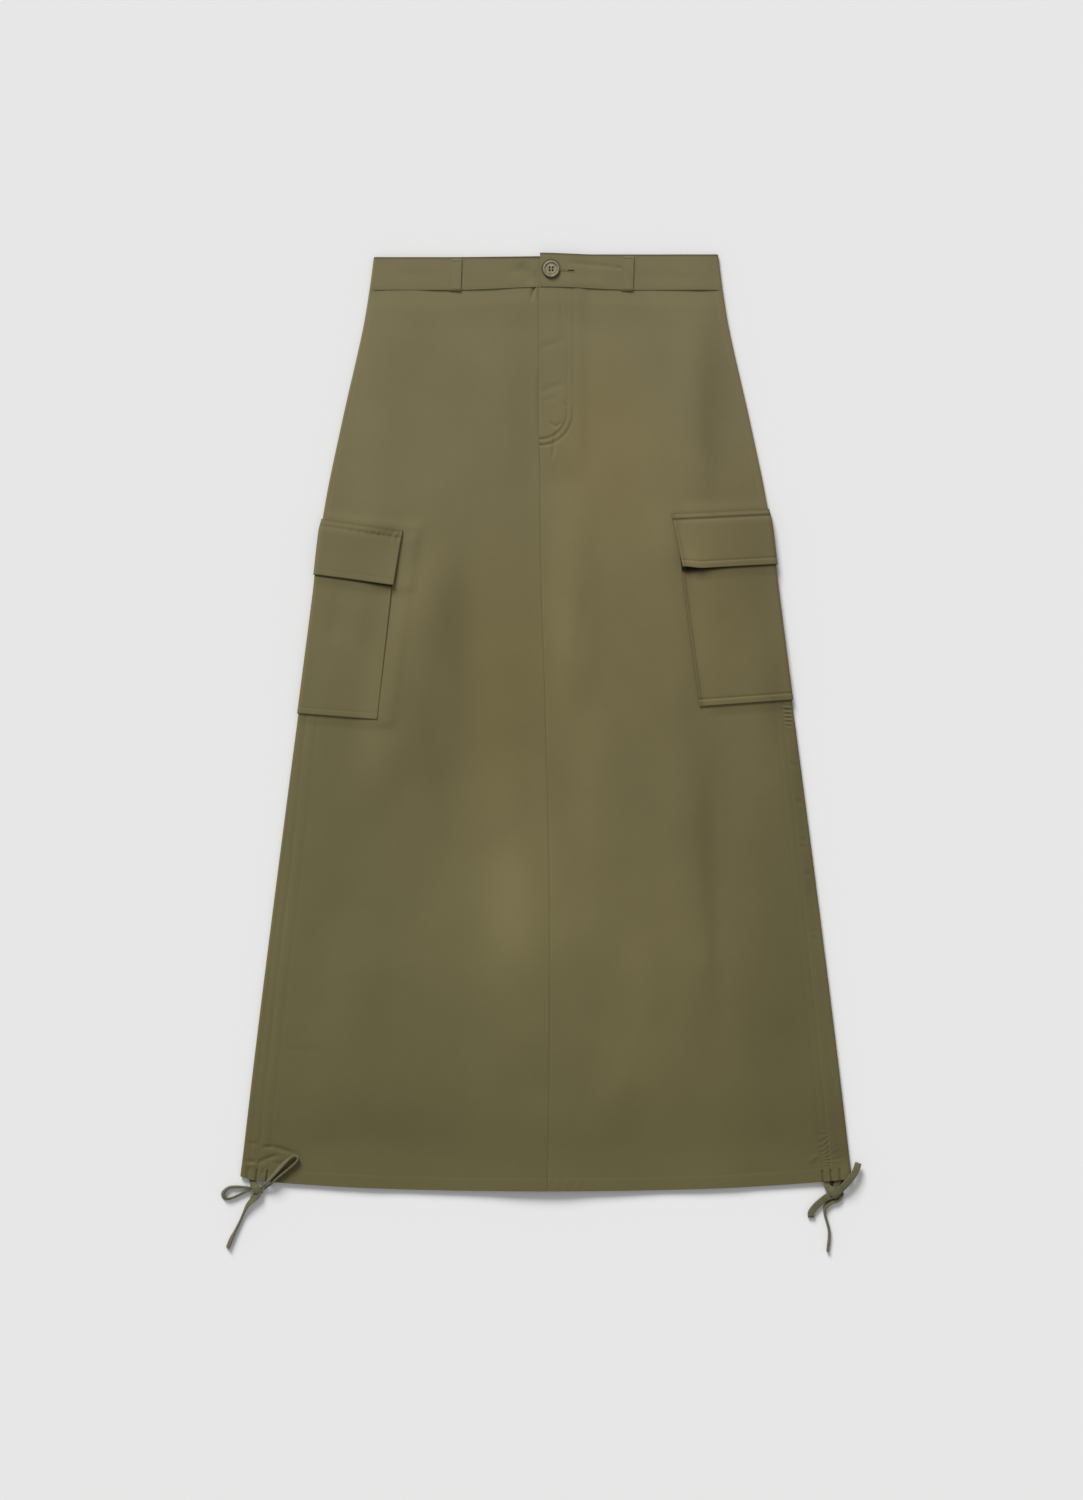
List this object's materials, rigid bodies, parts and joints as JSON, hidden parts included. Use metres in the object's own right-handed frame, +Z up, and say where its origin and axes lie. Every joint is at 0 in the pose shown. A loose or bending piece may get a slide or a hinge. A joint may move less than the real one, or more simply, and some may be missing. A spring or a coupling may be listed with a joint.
{
  "type": "cargo utility skirt",
  "caption": "Long A-line cargo skirt laid flat, with a buttoned waistband, fly, wrapped side pockets with flaps, and drawcord bows at the hem.",
  "frame": {"origin": "on the surface that the skirt lies on, under the middle of the cloth's bounding box", "axes": "+Z up out of the front, +Y to the waist, +X to the wearer's left side"},
  "size_m": [0.6391, 0.9979, 0.012],
  "materials": {
    "cloth": "matt olive cotton twill",
    "button": "satin olive brown resin",
    "drawcord": "matt flat woven tape"
  },
  "bodies": {
    "root": {"front_right": "cloth", "front_left": "cloth", "back_panel": "cloth", "fly_shield": "cloth", "waistband": "cloth", "belt_loop_right": "cloth", "belt_loop_left": "cloth", "pocket_right": "cloth", "pocket_left": "cloth", "flap_right": "cloth", "flap_left": "cloth", "casing_right": "cloth", "casing_left": "cloth", "button": "button", "cord_right_lead": "drawcord", "cord_right_knot": "drawcord", "cord_right_loop_a": "drawcord", "cord_right_loop_b": "drawcord", "cord_right_tail_a": "drawcord", "cord_right_tail_b": "drawcord", "cord_left_lead_a": "drawcord", "cord_left_lead_b": "drawcord", "cord_left_knot": "drawcord", "cord_left_loop_a": "drawcord", "cord_left_loop_b": "drawcord", "cord_left_tail": "drawcord"}
  },
  "joints": []
}
